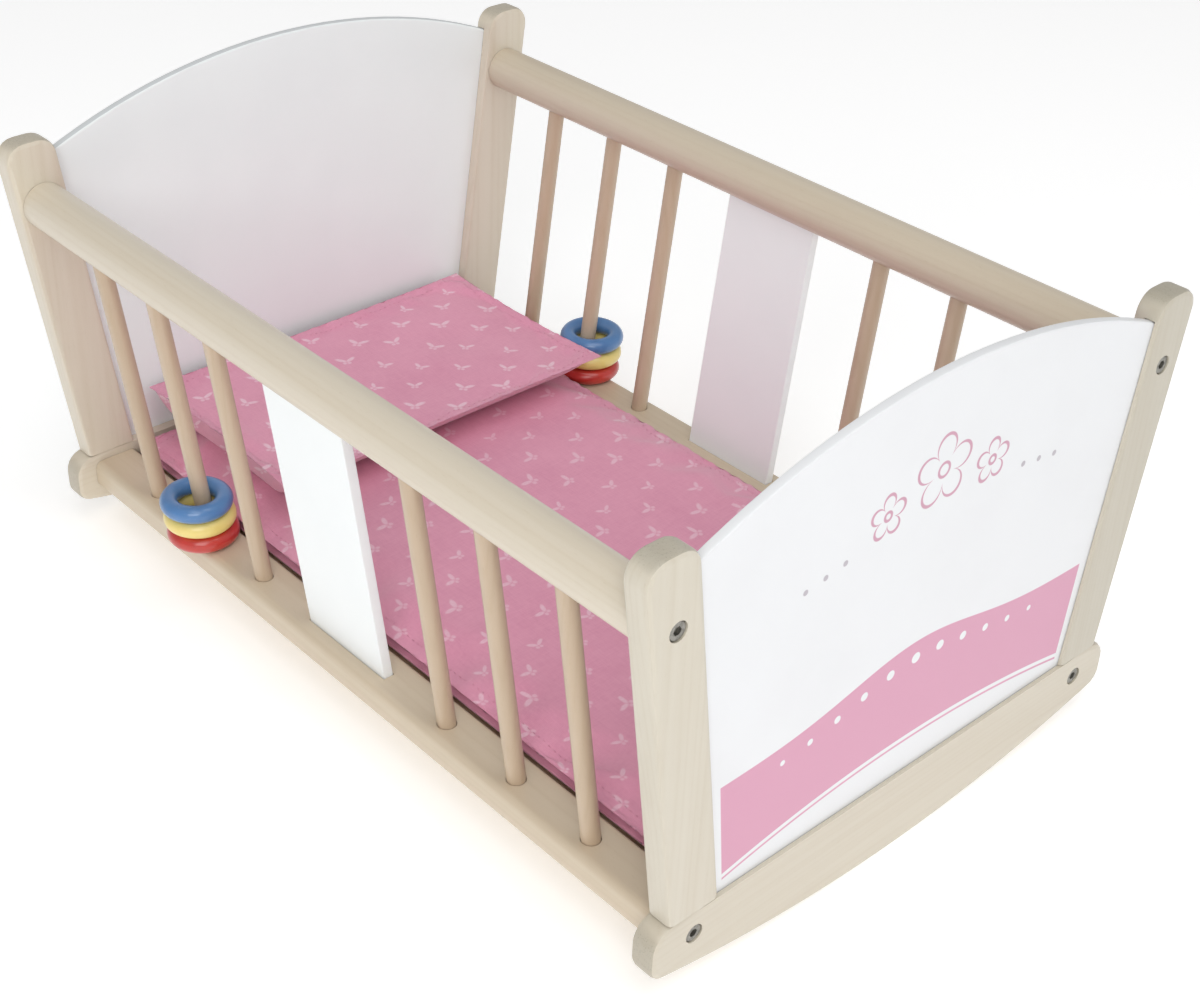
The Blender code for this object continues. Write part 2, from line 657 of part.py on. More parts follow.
def main():
    clear_scene()
    materials = {
        "wood": principled("pale_wood", (0.68, 0.56, 0.38), 0.45),
        "white": principled("white_paint", (0.86, 0.86, 0.87), 0.4),
        "dowel": principled("dowel_wood", (0.62, 0.48, 0.30), 0.6),
        "board": principled("thin_ply", (0.66, 0.52, 0.34), 0.6),
        "bolt": principled("bolt_steel", (0.18, 0.17, 0.15), 0.35, 1),
        "nut": principled("nut_steel", (0.45, 0.44, 0.42), 0.35, 1),
        "red": principled("ring_red", (0.55, 0.05, 0.03), 0.35),
        "yellow": principled("ring_yellow", (0.85, 0.60, 0.10), 0.35),
        "blue": principled("ring_blue", (0.08, 0.22, 0.50), 0.35),
        "mattress": principled("mattress_cotton", (0.74, 0.24, 0.38), 0.9),
        "blanket": principled("blanket_cotton", (0.76, 0.25, 0.40), 0.9),
        "pillow": principled("pillow_cotton", (0.78, 0.27, 0.42), 0.9),
    }
    meshes = {
        "rocker": rocker_mesh(),
        -1: post_mesh(-1),
        1: post_mesh(1),
        "panel": panel_mesh(),
        "bolt": bolt_mesh(),
        "nut": nut_mesh(),
        "dowel": to_mesh(rod(DOWEL_RADIUS, -DOWEL_SEAT, DOWEL_SEAT, FASTENER_SIDES), "dowel"),
        "top_rail": top_rail_mesh(),
        "bottom_rail": bottom_rail_mesh(),
        "slat": slat_mesh(),
        "spindle": to_mesh(spindle_bm(0), "spindle"),
        "ring": ring_mesh(),
    }
    for end in ENDS:
        build_end(end, materials, meshes)
    for side in SIDES:
        build_side(side, materials, meshes)
    build_bedding(materials)
    bpy.context.view_layer.update()


main()
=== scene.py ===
"""A doll cradle on curved rockers: pale wood, painted panels, rings and cotton bedding."""
import logging
import math
from bisect import bisect_right
from dataclasses import dataclass, field
from enum import Enum
from typing import Callable, Iterator, Mapping, Sequence

import bmesh
import bpy
from mathutils import Matrix, Vector, noise


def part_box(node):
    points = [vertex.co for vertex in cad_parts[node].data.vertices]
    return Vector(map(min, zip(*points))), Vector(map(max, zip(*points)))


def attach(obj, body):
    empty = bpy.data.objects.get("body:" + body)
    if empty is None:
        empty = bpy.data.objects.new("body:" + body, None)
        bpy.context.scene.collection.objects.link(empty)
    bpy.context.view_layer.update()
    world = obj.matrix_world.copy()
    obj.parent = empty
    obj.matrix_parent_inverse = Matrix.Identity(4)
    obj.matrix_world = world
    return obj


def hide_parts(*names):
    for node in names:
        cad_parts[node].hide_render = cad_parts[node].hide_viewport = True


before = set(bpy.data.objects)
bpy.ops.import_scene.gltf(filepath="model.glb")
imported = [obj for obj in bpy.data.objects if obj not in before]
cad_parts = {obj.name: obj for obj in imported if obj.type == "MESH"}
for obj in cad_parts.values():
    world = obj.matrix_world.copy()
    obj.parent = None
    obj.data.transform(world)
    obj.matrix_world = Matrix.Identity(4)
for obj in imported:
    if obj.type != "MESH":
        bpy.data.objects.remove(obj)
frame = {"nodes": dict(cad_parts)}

log = logging.getLogger("cradle")

Colour = tuple[float, float, float]
Term = "Signal | float"
MM = 0.001
SWELL_FRAMES = 20
COTTON_CLOTH = {
    "quality": 5,
    "mass": 0.15,
    "tension_stiffness": 14,
    "compression_stiffness": 14,
    "shear_stiffness": 5,
    "bending_stiffness": 0.35,
}


class Grain(Enum):
    """The axis that the fibres of a wooden piece run along."""

    X = 0
    Y = 1
    Z = 2


class Hue(Enum):
    """The three colours of the sliding rings, from the lowest up."""

    RED = "red"
    YELLOW = "yellow"
    BLUE = "blue"


class Signal:
    """One number that a shader tree carries, with the operators of a number."""

    def __init__(self, tree: "Tree", socket: bpy.types.NodeSocket) -> None:
        """Keeps the tree and the socket that the number comes out of."""
        self.tree = tree
        self.socket = socket

    def __add__(self, other: Term) -> "Signal":
        """Sum."""
        return self.tree.math("ADD", self, other)

    def __sub__(self, other: Term) -> "Signal":
        """Difference."""
        return self.tree.math("SUBTRACT", self, other)

    def __rsub__(self, other: Term) -> "Signal":
        """Difference from a number on the left."""
        return self.tree.math("SUBTRACT", other, self)

    def __mul__(self, other: Term) -> "Signal":
        """Product."""
        return self.tree.math("MULTIPLY", self, other)

    def __truediv__(self, other: Term) -> "Signal":
        """Quotient."""
        return self.tree.math("DIVIDE", self, other)

    def __rtruediv__(self, other: Term) -> "Signal":
        """Quotient of a number on the left."""
        return self.tree.math("DIVIDE", other, self)

    def __pow__(self, other: Term) -> "Signal":
        """Power."""
        return self.tree.math("POWER", self, other)

    __radd__ = __add__

    def size(self) -> "Signal":
        """The number without its sign."""
        return self.tree.math("ABSOLUTE", self)

    def root(self) -> "Signal":
        """Square root."""
        return self.tree.math("SQRT", self)

    def sine(self) -> "Signal":
        """Sine of the number as an angle."""
        return self.tree.math("SINE", self)

    def cosine(self) -> "Signal":
        """Cosine of the number as an angle."""
        return self.tree.math("COSINE", self)

    def whole(self) -> "Signal":
        """Nearest whole number."""
        return self.tree.math("ROUND", self)

    def top(self, other: Term) -> "Signal":
        """The larger of two numbers."""
        return self.tree.math("MAXIMUM", self, other)

    def step(self, low: float, high: float) -> "Signal":
        """Rises smoothly from 0 at low to 1 at high."""
        ramp = self.tree.node(
            "ShaderNodeMapRange",
            {"interpolation_type": "SMOOTHSTEP"},
            {"Value": self, "From Min": low, "From Max": high},
        )
        return Signal(self.tree, ramp.outputs["Result"])

    def inside(self, edge: float, blur: float) -> "Signal":
        """1 where the number is under the edge, with a soft border of the given width."""
        return 1 - self.step(edge - blur / 2, edge + blur / 2)


class Graph:
    """The nodes and links of any node tree."""

    def __init__(self, tree: bpy.types.NodeTree) -> None:
        """Takes the tree that the nodes go into."""
        self.nodes = tree.nodes
        self.links = tree.links

    def node(
        self,
        kind: str,
        settings: Mapping[str, object] | None = None,
        inputs: Mapping[str | int, object] | None = None,
    ) -> bpy.types.Node:
        """Adds any node.

        Args:
            kind: The node's type.
            settings: Its own settings, set first; "stops" gives a colour ramp's stops.
            inputs: Values, sockets or signals for its inputs, by name or number.

        Returns:
            The node.
        """
        made = self.nodes.new(kind)
        for key, value in (settings or {}).items():
            if key != "stops":
                setattr(made, key, value)
                continue
            elements = made.color_ramp.elements
            while len(elements) < len(value):
                elements.new(0.5)
            for element, (position, colour) in zip(elements, value):
                element.position = position
                element.color = (*colour, 1)
        for key, value in (inputs or {}).items():
            self.feed(made.inputs[key], value)
        return made

    def feed(self, socket: bpy.types.NodeSocket, value: object) -> None:
        """Links a signal or socket to an input, or sets the input's own value."""
        if isinstance(value, Signal):
            value = value.socket
        if isinstance(value, bpy.types.NodeSocket):
            self.links.new(value, socket)
        elif socket.type == "RGBA" and len(value) == 3:
            socket.default_value = (*value, 1)
        else:
            socket.default_value = value


class Tree(Graph):
    """The shader tree of one finish, which ends in one Principled shader.

    Places are in millimetres, in the piece's own frame.
    """

    def __init__(self, name: str) -> None:
        """Starts a material of the given name."""
        self.material = bpy.data.materials.new(name)
        self.material.use_nodes = True
        super().__init__(self.material.node_tree)
        self.shader = self.nodes["Principled BSDF"]
        coordinates = self.node("ShaderNodeTexCoord")
        scaled = self.node(
            "ShaderNodeVectorMath",
            {"operation": "MULTIPLY"},
            {0: coordinates.outputs["Object"], 1: (1 / MM,) * 3},
        )
        self.place = scaled.outputs[0]
        self.facing = coordinates.outputs["Normal"]

    def math(self, operation: str, *terms: Term) -> Signal:
        """Adds a Math node on numbers and returns its result."""
        made = self.node("ShaderNodeMath", {"operation": operation}, dict(enumerate(terms)))
        return Signal(self, made.outputs[0])

    def parts(self, vector: bpy.types.NodeSocket) -> tuple[Signal, Signal, Signal]:
        """Splits a vector into its three numbers."""
        split = self.node("ShaderNodeSeparateXYZ", inputs={0: vector})
        return tuple(Signal(self, socket) for socket in split.outputs)

    def joined(self, x: Term, y: Term, z: Term) -> bpy.types.NodeSocket:
        """Joins three numbers into a vector."""
        return self.node("ShaderNodeCombineXYZ", inputs={0: x, 1: y, 2: z}).outputs[0]

    def noise(
        self, vector: bpy.types.NodeSocket, scale: float, detail: float, roughness: float = 0.5
    ) -> Signal:
        """Adds fractal noise, about 0 to 1.

        Args:
            vector: Where it is read, in millimetres.
            scale: Features in a millimetre.
            detail: Octaves.
            roughness: Weight of the finer octaves.

        Returns:
            The noise.
        """
        made = self.node(
            "ShaderNodeTexNoise",
            inputs={"Vector": vector, "Scale": scale, "Detail": detail, "Roughness": roughness},
        )
        return Signal(self, made.outputs[0])

    def mix(self, factor: Term, first: object, second: object) -> bpy.types.NodeSocket:
        """Mixes two colours.

        Args:
            factor: Share of the second.
            first: Colour or socket.
            second: Colour or socket.

        Returns:
            The mixed colour's socket.
        """
        settings = {"data_type": "RGBA", "clamp_factor": True}
        return self.node("ShaderNodeMix", settings, {0: factor, 6: first, 7: second}).outputs[2]

    def bump(self, height: Signal, depth: float, strength: float) -> None:
        """Feeds the shader's normal with a relief.

        Args:
            height: Relief, 0 to 1.
            depth: Its depth in millimetres.
            strength: How much of it shows.
        """
        made = self.node(
            "ShaderNodeBump",
            inputs={"Height": height, "Distance": depth * MM, "Strength": strength},
        )
        self.feed(self.shader.inputs["Normal"], made.outputs["Normal"])

    def close(self, inputs: Mapping[str, object]) -> bpy.types.Material:
        """Sets the shader's inputs by name and returns the material."""
        for key, value in inputs.items():
            self.feed(self.shader.inputs[key], value)
        return self.material

    def random(self) -> Signal:
        """A number from 0 to 1 that differs from piece to piece."""
        return Signal(self, self.node("ShaderNodeObjectInfo").outputs["Random"])

    def edge_mask(self) -> Signal:
        """1 on the rounded edges of a board and 0 on its faces."""
        x, y, z = self.parts(self.facing)
        flattest = x.size().top(y.size()).top(z.size())
        return (1 - flattest).step(0.03, 0.22)


@dataclass(frozen=True)
class Wood:
    """Pale close-grained wood under a clear satin lacquer.

    Attributes:
        name: The material's name.
        grain: The axis of the fibres.
        tone: Colour of the early wood.
        late: Colour of the late wood.
        end: Colour of the end grain, dark enough to paint shade onto the cut ends as well, such
            as the tops of the posts.
        apart: Millimetres that the figure shifts by from piece to piece.
        heart: Middle of the growth rings, in millimetres.
        ring_spacing: Millimetres from one growth ring to the next.
        lacquer: Weight of the clear coat.
        roughness: Roughness of the surface.
    """

    name: str
    grain: Grain
    tone: Colour = (0.700, 0.635, 0.525)
    late: Colour = (0.590, 0.500, 0.370)
    end: Colour = (0.270, 0.245, 0.185)
    apart: tuple[float, float, float] = (310.0, 170.0, 230.0)
    heart: tuple[float, float] = (21.0, -47.0)
    ring_spacing: float = 3.6
    lacquer: float = 0.28
    roughness: float = 0.40

    def material(self) -> bpy.types.Material:
        """Builds the material."""
        tree = Tree(self.name)
        shift = tree.random()
        axes = [way + shift * apart for way, apart in zip(tree.parts(tree.place), self.apart)]
        along = axes.pop(self.grain.value)
        first, second = axes
        slow = tree.joined(first, second, along * 0.035)
        fine = tree.joined(first, second, along * 0.06)
        streaks = tree.noise(slow, 0.11, 5, 0.55)
        fibres = tree.noise(fine, 1.7, 3, 0.6)
        bend = tree.noise(slow, 0.035, 2) * 26
        reach = ((first - self.heart[0]) ** 2 + (second - self.heart[1]) ** 2).root() + bend
        rings = (reach * (2 * math.pi / self.ring_spacing)).sine() * 0.5 + 0.5
        short = tree.joined(first * 1.5, second * 1.5, along * 0.22)
        flecks = tree.noise(short, 1.1, 1).step(0.66, 0.74)
        depth = (streaks - 0.42) * 0.75 + rings ** 3 * 0.12
        depth = depth + (fibres - 0.5) * 0.20 + flecks * 0.16
        colour = tree.mix(depth.step(-0.15, 0.85), self.tone, self.late)
        colour = tree.mix((shift - 0.5) * 0.16 + 0.08, colour, self.late)
        faces = tree.parts(tree.facing)[self.grain.value].size()
        end_grain_and_shade = faces.step(0.55, 0.92)
        pores = tree.noise(tree.place, 1.5, 2).step(0.55, 0.75)
        # The cut ends take the dark end colour: their own darker end grain with painted shade on
        # top of it.
        colour = tree.mix(end_grain_and_shade * (0.40 + pores * 0.35), colour, self.end)
        colour = tree.mix(tree.edge_mask() * 0.10, colour, self.late)
        tree.bump(fibres * 0.6 + flecks * 0.3 + streaks * 0.2, 0.12, 0.35)
        return tree.close(
            {
                "Base Color": colour,
                "Roughness": self.roughness + (streaks - 0.5) * 0.14 + end_grain_and_shade * 0.12,
                "Coat Weight": self.lacquer,
                "Coat Roughness": 0.22,
            }
        )


@dataclass(frozen=True)
class Paint:
    """Satin paint on thin board, with a faint roller texture."""

    name: str
    # The white is kept near full and given a cyan-green cast: painted light that offsets the pink
    # light the bedding throws on the panels and slats.
    tone: Colour = (0.920, 0.950, 0.955)
    shade: Colour = (0.880, 0.910, 0.920)
    # rim: grey for faces turned upward, the board's edge tone with painted shade along the edge.
    rim: Colour = (0.480, 0.480, 0.500)
    rim_shade_share: float = 0.0

    def base(self, tree: Tree) -> bpy.types.NodeSocket:
        """The paint's colour before any print."""
        cloud = tree.noise(tree.place, 0.02, 3)
        colour = tree.mix(cloud.step(0.35, 0.8) * 0.5, self.tone, self.shade)
        # Faces turned upward, such as the head panel's arched top edge, are greyed: the board's
        # edge tone with painted shade along that edge.
        rim = tree.parts(tree.facing)[2].step(0.35, 0.8)
        return tree.mix(rim * self.rim_shade_share, colour, self.rim)

    def relief(self, tree: Tree) -> Signal:
        """The roller texture's height."""
        return tree.noise(tree.place, 0.55, 2) * 0.8 + tree.noise(tree.place, 2.4, 1) * 0.2

    def material(self) -> bpy.types.Material:
        """Builds the material."""
        tree = Tree(self.name)
        relief = self.relief(tree)
        tree.bump(relief, 0.05, 0.35)
        return tree.close(
            {
                "Base Color": self.base(tree),
                "Roughness": 0.34 + relief * 0.10,
                "Coat Weight": 0.1,
            }
        )


@dataclass(frozen=True)
class PrintedPaint(Paint):
    """The foot panel's paint with its print: a dotted wave band, a line, flowers and a garland.

    Sizes are in millimetres, across the panel from its middle and up from its foot.
    """

    # A darker copy of the panels' white paint: painted shade that tempers the strong light on the
    # foot panel.
    tone: Colour = (0.800, 0.810, 0.825)
    shade: Colour = (0.765, 0.770, 0.785)
    pink: Colour = (0.655, 0.306, 0.434)
    line: Colour = (0.580, 0.300, 0.400)
    speck: Colour = (0.470, 0.430, 0.475)
    outer_face: float = -246.9
    foot: float = 46.0
    blur: float = 0.5
    band_rest: float = 62.5
    band_swell: float = 15.5
    band_reach: float = 60.0
    band_side: float = 119.5
    side_lean: float = 0.105
    line_crown: float = 18.6
    line_fall: float = 0.00083
    line_half: float = 0.65
    line_gap: float = 3.0
    dot_pitch: float = 17.4
    dot_drop: float = 10.0
    dot_radius: float = 2.9
    dot_shrink: float = 0.016
    dot_span: float = 92.0
    speck_pitch: float = 12.0
    speck_rest: float = 158.0
    speck_fall: float = 0.16
    speck_radius: float = 1.5
    speck_span: tuple[float, float] = (50.0, 90.0)
    flowers: tuple[tuple[float, float, float], ...] = (
        (0.0, 170.0, 18.0),
        (-35.0, 161.0, 11.0),
        (35.0, 161.0, 11.0),
    )

    def wave(self, x: Signal) -> Signal:
        """Height of the band's upper edge."""
        bell = x.tree.math("EXPONENT", (x / self.band_reach) ** 2 * -1)
        return self.band_rest + bell * self.band_swell

    def stripe(self, x: Signal) -> Signal:
        """Height of the thin line, which sinks towards the sides."""
        return self.line_crown - x * x * self.line_fall

    def between(self, x: Signal, z: Signal) -> Signal:
        """Mask of the panel between the sides of the band and the line."""
        return (x.size() - z * self.side_lean).inside(self.band_side, self.blur)

    def band(self, x: Signal, z: Signal) -> Signal:
        """Mask of the pink band between its wave and its lower edge."""
        top = (z - self.wave(x)).inside(0, self.blur)
        bottom = (self.stripe(x) + self.line_gap - z).inside(0, self.blur)
        return top * bottom * self.between(x, z)

    def pinstripe(self, x: Signal, z: Signal) -> Signal:
        """Mask of the thin line under the band."""
        return (z - self.stripe(x)).size().inside(self.line_half, self.blur) * self.between(x, z)

    def nearest(
        self, x: Signal, z: Signal, pitch: float, height: Callable[[Signal], Signal]
    ) -> tuple[Signal, Signal]:
        """Finds the nearest of a row of spots.

        Args:
            x: Place across the panel.
            z: Place up the panel.
            pitch: Way from one spot to the next.
            height: Height of the row at a place across the panel.

        Returns:
            The way to that spot, and its way from the panel's middle.
        """
        cell = (x / pitch).whole() * pitch
        return ((x - cell) ** 2 + (z - height(cell)) ** 2).root(), cell.size()

    def dots(self, x: Signal, z: Signal) -> Signal:
        """Mask of the white dots that follow the wave, largest in the middle."""
        reach, way = self.nearest(
            x, z, self.dot_pitch, lambda cell: self.wave(cell) - self.dot_drop
        )
        radius = self.dot_radius - way * self.dot_shrink
        return (reach - radius).inside(0, self.blur) * way.inside(self.dot_span, 1)

    def garland(self, x: Signal, z: Signal) -> Signal:
        """Mask of the small specks that hang in a bow beside the flowers."""
        reach, way = self.nearest(
            x, z, self.speck_pitch, lambda cell: self.speck_rest - cell.size() * self.speck_fall
        )
        inner, outer = self.speck_span
        kept = way.inside(outer, 1) * (1 - way.inside(inner, 1))
        return reach.inside(self.speck_radius, self.blur) * kept

    def flower(self, x: Signal, z: Signal, spot: tuple[float, float, float]) -> Signal:
        """Mask of one outlined flower of five petals.

        Args:
            x: Place across the panel.
            z: Place up the panel.
            spot: The flower's middle and its radius.

        Returns:
            The mask.
        """
        across, up = x - spot[0], z - spot[1]
        reach = (across ** 2 + up ** 2).root()
        angle = x.tree.math("ARCTAN2", up, across)
        petal = (angle * 2.5 - math.pi / 4).cosine().size() ** 0.55
        outline = (reach - (0.40 + petal * 0.60) * spot[2]).size()
        heart = (reach - 0.20 * spot[2]).size()
        return outline.inside(0.85, self.blur).top(heart.inside(0.75, self.blur))

    def material(self) -> bpy.types.Material:
        """Builds the material; the print lies on the outer face alone."""
        tree = Tree(self.name)
        x, y, up = tree.parts(tree.place)
        z = up - self.foot
        outer = y.inside(self.outer_face, 0.2)
        band = self.band(x, z) * outer
        dots = self.dots(x, z) * band
        line = self.pinstripe(x, z) * outer
        specks = self.garland(x, z) * outer
        blooms = self.flower(x, z, self.flowers[0])
        for spot in self.flowers[1:]:
            blooms = blooms.top(self.flower(x, z, spot))
        blooms = blooms * outer
        colour = self.base(tree)
        for mask, tone in (
            (band, self.pink),
            (dots, self.tone),
            (line, self.pink),
            (specks, self.speck),
            (blooms, self.line),
        ):
            colour = tree.mix(mask, colour, tone)
        relief = self.relief(tree)
        ink = band.top(line).top(specks).top(blooms)
        tree.bump(relief + ink * 0.5, 0.06, 0.35)
        return tree.close(
            {
                "Base Color": colour,
                "Roughness": 0.34 + relief * 0.10 - ink * 0.04,
                "Coat Weight": 0.1,
            }
        )


@dataclass(frozen=True)
class Lacquer:
    """Gloss colour on a turned ring, with faint turning marks and worn spots."""

    name: str
    tone: Colour
    deep: Colour
    bare: Colour = (0.75, 0.66, 0.52)

    def material(self) -> bpy.types.Material:
        """Builds the material."""
        tree = Tree(self.name)
        x, y, z = tree.parts(tree.place)
        cloud = tree.noise(tree.place, 0.12, 3)
        marks = (z * 9 + cloud * 3).sine() * 0.5 + 0.5
        scuffs = tree.noise(tree.place, 0.8, 4, 0.7).step(0.64, 0.70)
        colour = tree.mix(cloud.step(0.3, 0.8) * 0.45, self.tone, self.deep)
        colour = tree.mix(scuffs * 0.12, colour, self.bare)
        tree.bump(marks * 0.25 + cloud * 0.75, 0.08, 0.3)
        return tree.close(
            {
                "Base Color": colour,
                "Roughness": 0.26 + scuffs * 0.25 + cloud * 0.06,
                "Coat Weight": 0.5,
                "Coat Roughness": 0.12,
            }
        )


@dataclass(frozen=True)
class Steel:
    """Plated steel with fine turning marks."""

    name: str
    tone: Colour
    roughness: float
    dulled: float = 0.62

    def material(self) -> bpy.types.Material:
        """Builds the material."""
        tree = Tree(self.name)
        cloud = tree.noise(tree.place, 0.7, 4)
        marks = tree.noise(tree.place, 6.0, 2)
        dull = tuple(share * self.dulled for share in self.tone)
        colour = tree.mix(cloud.step(0.35, 0.75), self.tone, dull)
        tree.bump(marks, 0.03, 0.4)
        return tree.close(
            {
                "Base Color": colour,
                "Metallic": 1.0,
                "Roughness": self.roughness + (cloud - 0.5) * 0.25,
            }
        )


@dataclass(frozen=True)
class Cotton:
    """Plain-woven cotton, which may carry a small pale print in staggered rows.

    Sizes are in millimetres.

    Attributes:
        name: The material's name.
        tone: Colour of the threads.
        deep: Colour between the threads.
        pale: Colour of the print.
        thread: Way from one thread to the next.
        pitch: Way from one sprig to the next, along a row and from row to row.
        turn: Angle of the sprigs, in radians.
        scatter: How far a sprig may lie from its place.
        printed: Whether it carries the print.
    """

    name: str
    tone: Colour = (0.785, 0.355, 0.485)
    deep: Colour = (0.660, 0.255, 0.380)
    pale: Colour = (0.870, 0.620, 0.710)
    thread: float = 0.62
    pitch: tuple[float, float] = (36.0, 16.6)
    turn: float = 0.55
    scatter: float = 3.2
    printed: bool = True

    def sprig(self, x: Signal, y: Signal) -> Signal:
        """Mask of small sprigs of two leaves and two seeds, in staggered rows."""
        row = (y / self.pitch[1]).whole()
        across = x / self.pitch[0] + row * 0.5
        column = across.whole()
        chance = (column * 12.9 + row * 7.3).sine()
        other = (column * 5.1 - row * 9.7).sine()
        dx = (across - column) * self.pitch[0] - chance * self.scatter
        dy = y - row * self.pitch[1] - other * self.scatter * 0.6
        turn = (chance + other) * 0.30 + self.turn
        cosine, sine = turn.cosine(), turn.sine()
        scale = 1 / (1 + chance * 0.14)
        side = (dx * cosine + dy * sine).size() * scale
        up = (dy * cosine - dx * sine) * scale
        leaf = (((side - 2.7) / 2.6) ** 2 + ((up - side * 0.60) / 1.5) ** 2).root()
        seed = (((side - 1.3) / 1.1) ** 2 + ((up + 2.0) / 1.1) ** 2).root()
        return leaf.inside(1, 0.7).top(seed.inside(1, 0.8) * 0.8)

    def material(self) -> bpy.types.Material:
        """Builds the material."""
        tree = Tree(self.name)
        x, y, z = tree.parts(tree.place)
        warp = (x * (math.pi / self.thread)).sine()
        weft = ((y + z) * (math.pi / self.thread)).sine()
        weave = (warp * weft).size() ** 0.6
        slub_x = tree.noise(tree.joined(x * 0.12, y, z), 1.2, 2)
        slub_y = tree.noise(tree.joined(x, y * 0.12, z), 1.2, 2)
        slub = slub_x * 0.5 + slub_y * 0.5
        cloud = tree.noise(tree.place, 0.03, 3)
        shade = (1 - weave) * 0.30 + (slub - 0.5) * 0.9 + (cloud - 0.5) * 0.5
        colour = tree.mix(shade.step(-0.25, 0.75), self.tone, self.deep)
        if self.printed:
            wander = (tree.noise(tree.place, 0.05, 2) - 0.5) * 2.5
            ink = tree.noise(tree.place, 0.9, 2) * 0.6 + 0.3
            sprigs = self.sprig(x + z + wander, y + z - wander)
            colour = tree.mix(sprigs * ink, colour, self.pale)
        tree.bump(weave * 0.7 + slub * 0.3, 0.16, 0.45)
        return tree.close(
            {
                "Base Color": colour,
                "Roughness": 0.86 + (slub - 0.5) * 0.12,
                "Sheen Weight": 0.35,
                "Sheen Roughness": 0.5,
                "Specular IOR Level": 0.25,
            }
        )


@dataclass
class Smoothing:
    """Modifiers that join a carried-over solid's facets and shade its rounded parts smooth."""

    angle: float = math.radians(34)
    merge: float = 0.00001
    group: bpy.types.GeometryNodeTree | None = None

    def tree(self) -> bpy.types.GeometryNodeTree:
        """Builds the node group once: smooth faces, with edges over the angle kept sharp."""
        if self.group:
            return self.group
        group = bpy.data.node_groups.new("smooth_by_angle", "GeometryNodeTree")
        group.interface.new_socket("Geometry", in_out="INPUT", socket_type="NodeSocketGeometry")
        group.interface.new_socket("Geometry", in_out="OUTPUT", socket_type="NodeSocketGeometry")
        graph = Graph(group)
        source = graph.node("NodeGroupInput").outputs[0]
        merged = graph.node(
            "GeometryNodeMergeByDistance", inputs={"Geometry": source, "Distance": self.merge}
        )
        faces = graph.node(
            "GeometryNodeSetShadeSmooth", inputs={"Geometry": merged.outputs[0]}
        )
        bend = graph.node("GeometryNodeInputMeshEdgeAngle").outputs["Unsigned Angle"]
        sharp = graph.node(
            "ShaderNodeMath", {"operation": "GREATER_THAN"}, {0: bend, 1: self.angle}
        )
        edges = graph.node(
            "GeometryNodeSetShadeSmooth",
            {"domain": "EDGE"},
            {
                "Geometry": faces.outputs[0],
                "Selection": sharp.outputs[0],
                "Shade Smooth": False,
            },
        )
        graph.node("NodeGroupOutput", inputs={0: edges.outputs[0]})
        self.group = group
        return group

    def apply_to(self, item: bpy.types.Object) -> None:
        """Adds the modifiers to a carried-over solid, whose own mesh stays as it is."""
        item.modifiers.new("smooth", "NODES").node_group = self.tree()
        weighted = item.modifiers.new("weighted", "WEIGHTED_NORMAL")
        weighted.mode = "FACE_AREA"
        weighted.weight = 50
        weighted.keep_sharp = True


def dress(item: bpy.types.Object, material: bpy.types.Material) -> None:
    """Gives every slot of an object the material."""
    if not item.material_slots:
        item.data.materials.append(material)
    for slot in item.material_slots:
        slot.material = material


def new_piece(name: str, bm: bmesh.types.BMesh, body: str) -> bpy.types.Object:
    """Makes a piece from a bmesh in the cradle's frame.

    Args:
        name: Its name.
        bm: Its shape, which is freed.
        body: The body it rides on.

    Returns:
        The object.
    """
    bmesh.ops.recalc_face_normals(bm, faces=bm.faces)
    mesh = bpy.data.meshes.new(name)
    bm.to_mesh(mesh)
    bm.free()
    mesh.shade_smooth()
    item = bpy.data.objects.new(name, mesh)
    bpy.context.scene.collection.objects.link(item)
    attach(item, body)
    return item


